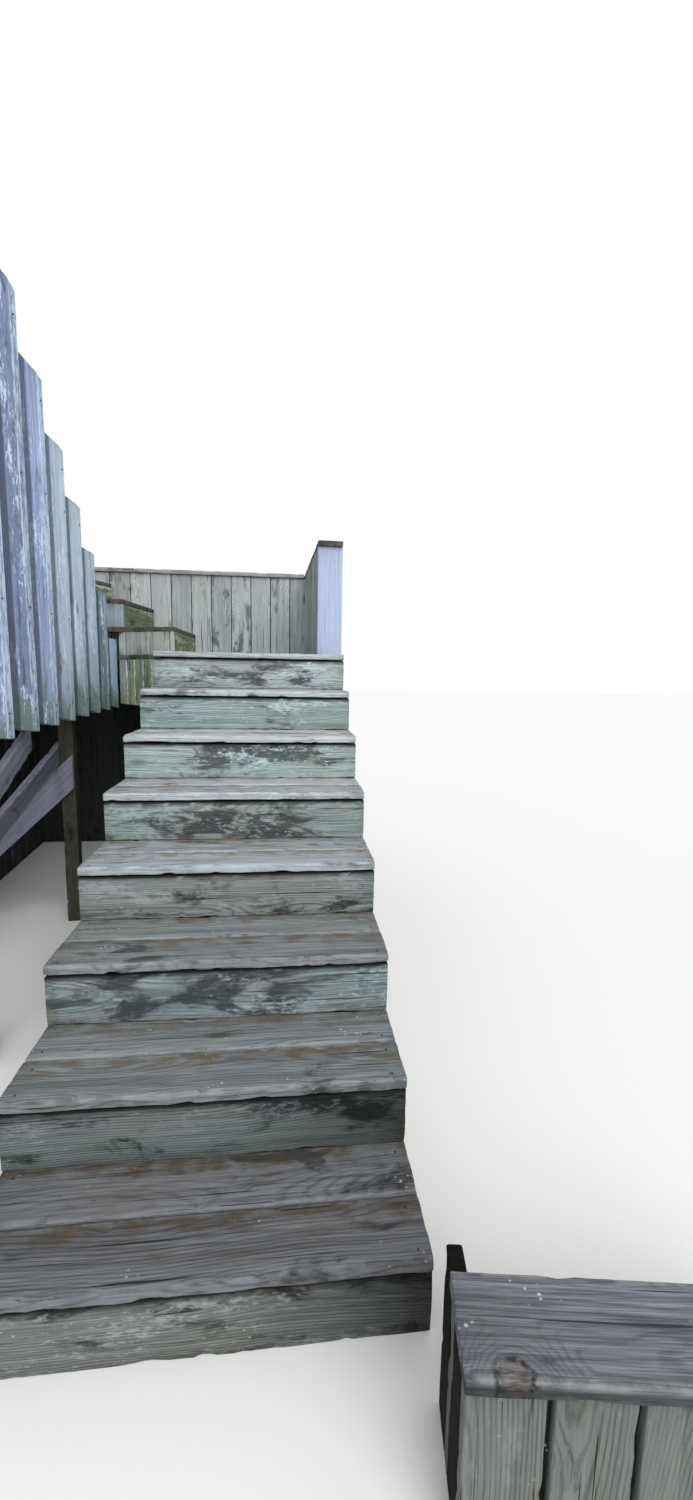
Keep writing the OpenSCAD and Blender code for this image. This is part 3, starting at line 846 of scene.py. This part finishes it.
special["riser_1"] = special["riser_2"] = weathered_wood("riser_wood_low", {
    **RISER, "pale": (0.27, 0.29, 0.26), "mildew": 0.9, "algae": 0.2})
# Near-black wood for the boards in the gaps between wall boards: painted shade
gap_shade_wood = weathered_wood("gap_painted_shade", pale=(0.03, 0.03, 0.028), dark=(0.008, 0.008, 0.008))


# Shades: how much painted shade each point of a node gets, from 0 to 1, in the closed spaces of the stairs
# and on faces in shadow

LANDING = max(v.co.z for v in nodes["landing_deck"].data.vertices)
BELOW_DECK = 0.036  # down from the landing's top
INNER_FACE = 0.012  # as far as this from a wall board's inner face
END_WALL_TURN = 0.0332  # how far the end wall's rows run aside on each metre
END_WALL_ROW = 0.06
DEEP, DIM = 0.85, 0.75


def below_landing(points, local):
    """The inner face of a wall board, as far up as the space under the landing."""
    return ((points[:, 2] < LANDING - BELOW_DECK) & (local[:, 2] < INNER_FACE)).astype(float)


def below_landing_left(points, local):
    """The same for the left one of the end wall's two rows of boards."""
    across = points[:, 0] + END_WALL_TURN * points[:, 1]
    return below_landing(points, local) * (across < across.min() + END_WALL_ROW)


def toward_stairs(points, local):
    """The inner face of the outer boards of the upper flight."""
    return (local[:, 2] > 0.03).astype(float) * DEEP


def under_parts(points, local):
    """Framing below the landing's deck."""
    return np.clip((LANDING - 0.02 - points[:, 2]) * 20, 0, 1) * DIM


def under_tread(points, local):
    """The top 7 mm of a riser, below the tread's overhang."""
    return np.clip((points[:, 2] - points[:, 2].max() + 0.007) * 700, 0, 1)


def under_tread_low(points, local):
    """The same, with painted shade also at the foot and toward the right end, beside the bank."""
    shade_toward_bank = np.clip(points[:, 0] / 0.6, 0, 1) * DIM
    shade_at_foot = np.clip((points[:, 2].min() + 0.05 - points[:, 2]) / 0.05, 0, 1) * 0.35
    return np.maximum(under_tread(points, local), np.maximum(shade_toward_bank, shade_at_foot))


def cap_front(points, local):
    """The front face of the corner wall's cap, under its worn edge."""
    return ((local[:, 2] < 0.026) & (local[:, 1] < 0.02)) * DIM


SHADES = {
    "back_wall_boards": below_landing, "end_wall_boards": below_landing_left,
    "upper_outer_boards": toward_stairs, "corner_wall_cap": cap_front,
    "deck_posts": under_parts, "landing_joists": under_parts, "landing_rims": under_parts,
    "upper_beam": under_parts, "winder_joists": under_parts,
    "riser_1": under_tread_low, "riser_2": under_tread_low,
}

# How finely each node's boards are drawn and how worn they are, where it isn't FINE
FINE = {"step": 0.02, "wide_step": 0.02, "wear": 1.0}
PLAIN = {"step": 0.05, "wide_step": 0.04, "wear": 1.0}
WALL_BOARD = {**FINE, "step": 0.045, "wide_step": 0.03}
TREAD = {**FINE, "wear": 1.5, "front_wear": 0.004, "cup": 0.0012}
LOOKS = {
    "upper_skirt": {**FINE, "wide_step": 0.014, "far_strip": (0.24, 0.012), "near_rise": 0.06},
    "back_wall_boards": {**FINE, "step": 0.035, "wide_step": 0.03},
    "end_wall_boards": WALL_BOARD, "side_boards": WALL_BOARD,
    "upper_outer_boards": PLAIN, "back_wall_rails": PLAIN, "wall_posts": PLAIN, "landing_joists": PLAIN,
    "upper_risers": PLAIN, "side_plates": PLAIN,
}

# Nails, on the upper face or the lower one by thickness, at distances from the edges and the ends
NAILED = {
    "upper_skirt": {"top": True, "rows": (0.05,), "ends": (0.12,), "spacing": 0.62},
    "back_wall_boards": {"top": False, "rows": (0.045,), "ends": (0.06,)},
    "end_wall_end_board": {"top": False, "rows": (0.05,), "ends": (0.1,)},
}
for number in range(1, 9):
    LOOKS[f"tread_{number}"] = TREAD
    NAILED[f"tread_{number}"] = {"top": True, "rows": (0.035,), "ends": (0.04,)}
    NAILED[f"riser_{number}"] = {"top": False, "rows": (0.045,), "ends": (0.035,)}
    SHADES.setdefault(f"riser_{number}", under_tread)

# Tints of the boards by their place, paler high up, darker near the ground: partly the boards' own colour and
# partly painted light and shade
TINTS_AND_PAINTED_LIGHT = {
    "riser_8": (1.8, 1.8, 2.2), "riser_7": (1.8, 1.95, 2.4), "riser_6": (2.1, 2.2, 2.7),
    "riser_5": (1.25, 1.3, 1.55), "riser_4": (1.02, 1.0, 1.2), "riser_3": (1.35, 1.4, 1.8),
    "riser_2": (0.7, 0.77, 0.88), "riser_1": (1.05, 1.02, 1.18),
    "tread_8": (2.0, 2.1, 2.2), "tread_7": (2.0, 2.1, 2.2), "tread_6": (2.0, 2.1, 2.2),
    "tread_5": (2.0, 2.1, 2.2), "tread_4": (1.6, 1.7, 1.8), "tread_3": (1.1, 1.15, 1.2),
    "tread_2": (1.1, 1.15, 1.2), "tread_1": (0.75, 0.75, 0.8),
    "back_wall_boards": (1.15, 1.33, 1.5), "back_wall_cap": (1.1, 1.2, 1.3),
    "end_wall_boards": (1.1, 1.25, 1.4), "end_wall_end_board": (0.82, 0.98, 1.25),
    "corner_wall_cap": (1.75, 1.9, 2.1), "corner_wall_boards": (0.62, 0.66, 0.72),
    # The corner wall's side board is near black: painted shade on a face turned away from the light
    "corner_wall_side_board": (0.04, 0.04, 0.04), "wing_skirt": (4.2, 4.4, 5.0),
    "upper_skirt": (1.45, 1.68, 2.05), "upper_braces": (0.98, 1.06, 1.25),
    "winder_sides": (1.7, 1.9, 2.0), "winder_end_board": (1.1, 1.35, 1.84),
    "winder_risers": (2.1, 2.3, 2.2),
}

SLIVER = 0.001  # left over at the end of a row of boards, too thin for a board
PLANKS = {"winder_treads": (0.184, 0.006)}  # width and gap

# Where the short boards of the winding steps' near sides meet, and half the gap, as shares of the length
SIDE_CUTS = (0.0, 0.13, 0.5, 0.92, 1.0)
LONG_SIDE_CUTS = (0.0, 0.25, 0.5, 0.75, 1.0)
LONG_SIDE = 0.7  # metres
HALF_CUT = 0.003

# Where the near-black boards of painted shade in the gaps between boards lie, as shares of the boards'
# thickness
GAPPED = {
    "back_wall_boards": (0.35, 0.62), "end_wall_boards": (0.35, 0.62), "corner_wall_boards": (0.55, 0.85),
    "upper_outer_boards": (0.35, 0.62),
}
BACK_WALL_FRONT = min(v.co.y for v in nodes["back_wall_boards"].data.vertices)
BOARD_GAP = 0.01
WALL_GAP = 0.003
CLOSING_SEED = 77
GAP_SHADE_SEED = 3


# The pieces

def grain_of(name, solid):
    """The direction of the grain of a solid that isn't a plain board."""
    if name == "upper_stringers":
        return np.linalg.svd(solid.points - solid.points.mean(0))[2][0]
    return np.array([0.0, 1.0, 0.0]) if name == "winder_treads" else np.array([1.0, 0.0, 0.0])


def upright_strips(board, seed, look):
    """The short upright boards of a winding step's near side, which the CAD has as one long piece."""
    cuts = SIDE_CUTS if board.size[0] < LONG_SIDE else LONG_SIDE_CUTS
    strips = []
    for k, (low, high) in enumerate(zip(cuts, cuts[1:])):
        strip = board.part((low + HALF_CUT, 0, 0), (high - HALF_CUT, 1, 1))
        strips.append(board_shape(strip.turned(), seed + k * 5, look))
    return strips


def closing_board(boards):
    """The narrow board between the last outer board of the upper flight and the back wall."""
    last = max(boards, key=lambda b: b.corners[..., 1].max())
    to_wall = last.axes[1][1] > 0
    way = last.axes[1] if to_wall else -last.axes[1]
    room = (BACK_WALL_FRONT - WALL_GAP - last.corners[..., 1].max()) / way[1] - BOARD_GAP
    edge = last.corners[:, 1 if to_wall else 0] + way * BOARD_GAP
    return Board.of(np.stack([edge, edge + way * room], axis=1), np.array([last.size[0], room, last.size[2]]),
                    np.array([last.axes[0], way, last.axes[2]]))


def rebuild(name):
    """The pieces that stand in for one CAD node, and those that close its gaps."""
    slot = slot_of[name]
    material = special.get(name, woods[slot])
    look = LOOKS.get(name, FINE)
    shapes, nails, boards = [], [], []
    for i, solid in enumerate(solids_of(name)):
        board = solid.board()
        seed = hash_name(name) + i * 11
        if board is not None and board.size.min() < SLIVER:
            continue
        if board is None or name in PLANKS:
            shapes += prism_shapes(solid, grain_of(name, solid), PLANKS.get(name))
            continue
        boards.append(board)
        upright = abs(board.axes[0][2]) > 0.9
        if name == "winder_sides" and upright:
            join_boards("winder_end_board", [board_shape(board, seed, look)], material,
                        tone=TINTS_AND_PAINTED_LIGHT["winder_end_board"])
        elif name == "winder_sides":
            shapes += upright_strips(board, seed, look)
        else:
            shapes.append(board_shape(board, seed, look))
            if name in NAILED:
                nails += nails_on(board, seed=seed, **NAILED[name])
    join_boards(name + "_timber", shapes, material, [name], SHADES.get(name), nails,
                TINTS_AND_PAINTED_LIGHT.get(name, PLAIN_TONE))
    if name == "upper_outer_boards":
        join_boards("upper_closing_board", [board_shape(closing_board(boards), CLOSING_SEED, PLAIN)],
                    material, shade=toward_stairs)
    # Near-black boards in the gaps between boards: painted shade
    if name in GAPPED:
        gap_shades = enumerate(gap_shade_boards_of(boards, *GAPPED[name]))
        join_boards(name + "_tongues", [board_shape(b, GAP_SHADE_SEED + i, PLAIN) for i, b in gap_shades],
                    gap_shade_wood)


slot_of = {s["node"]: s["material_slot"] for s in frame["record"]["subparts"]}
for node_name in sorted(nodes):
    rebuild(node_name)


# Stage, light and camera

FLOOR_REACH = 60.0
LIGHT_ON_STAIRS = 0.7  # the backdrop itself shows at full strength


def make_floor():
    mesh = bpy.data.meshes.new("floor")
    r = FLOOR_REACH
    mesh.from_pydata([(-r, -r, 0), (r, -r, 0), (r, r, 0), (-r, r, 0)], [], [(0, 1, 2, 3)])
    floor = bpy.data.objects.new("floor", mesh)
    bpy.context.scene.collection.objects.link(floor)
    material = bpy.data.materials.new("floor_paint")
    material.use_nodes = True
    shader = material.node_tree.nodes["Principled BSDF"]
    shader.inputs["Base Color"].default_value = (0.85, 0.85, 0.84, 1)
    shader.inputs["Roughness"].default_value = 0.9
    mesh.materials.append(material)


def make_backdrop():
    world = bpy.data.worlds.new("studio")
    bpy.context.scene.world = world
    world.use_nodes = True
    tree = world.node_tree
    background = tree.nodes["Background"]
    path = tree.nodes.new("ShaderNodeLightPath")
    mix = tree.nodes.new("ShaderNodeMix")
    mix.data_type = "FLOAT"
    mix.inputs["A"].default_value = LIGHT_ON_STAIRS
    mix.inputs["B"].default_value = 1.0
    tree.links.new(path.outputs["Is Camera Ray"], mix.inputs["Factor"])
    tree.links.new(mix.outputs["Result"], background.inputs["Strength"])
    background.inputs["Color"].default_value = (1, 1, 1, 1)


def make_lights():
    """One wide soft light, like an overcast sky."""
    sun = bpy.data.lights.new("sky", "SUN")
    sun.energy = 2.1
    sun.angle = math.radians(50)
    lamp = bpy.data.objects.new("sky", sun)
    lamp.rotation_euler = (math.radians(45), math.radians(18), 0)
    bpy.context.scene.collection.objects.link(lamp)


def make_camera():
    """The photo's camera, which looks down and a little to the right."""
    lens = bpy.data.cameras.new("camera")
    lens.sensor_width = SENSOR
    lens.sensor_fit = "AUTO"
    lens.lens = FOCAL_PIXELS / PHOTO_LONG_SIDE * SENSOR
    lens.clip_start = 0.05
    lens.clip_end = 200
    sy, cy = math.sin(CAMERA_YAW), math.cos(CAMERA_YAW)
    sp, cp = math.sin(CAMERA_PITCH), math.cos(CAMERA_PITCH)
    ahead = Vector((sy * cp, cy * cp, -sp))
    level = Vector((cy, -sy, 0))
    upright = level.cross(ahead)
    right = math.cos(CAMERA_ROLL) * level + math.sin(CAMERA_ROLL) * upright
    up = -math.sin(CAMERA_ROLL) * level + math.cos(CAMERA_ROLL) * upright
    turn = Matrix((right, up, -ahead)).transposed().to_4x4()
    camera = bpy.data.objects.new("camera", lens)
    camera.matrix_world = Matrix.Translation(CAMERA_AT) @ turn
    bpy.context.scene.collection.objects.link(camera)
    bpy.context.scene.camera = camera


make_floor()
make_backdrop()
make_lights()
make_camera()
bpy.context.scene.view_settings.view_transform = "Standard"
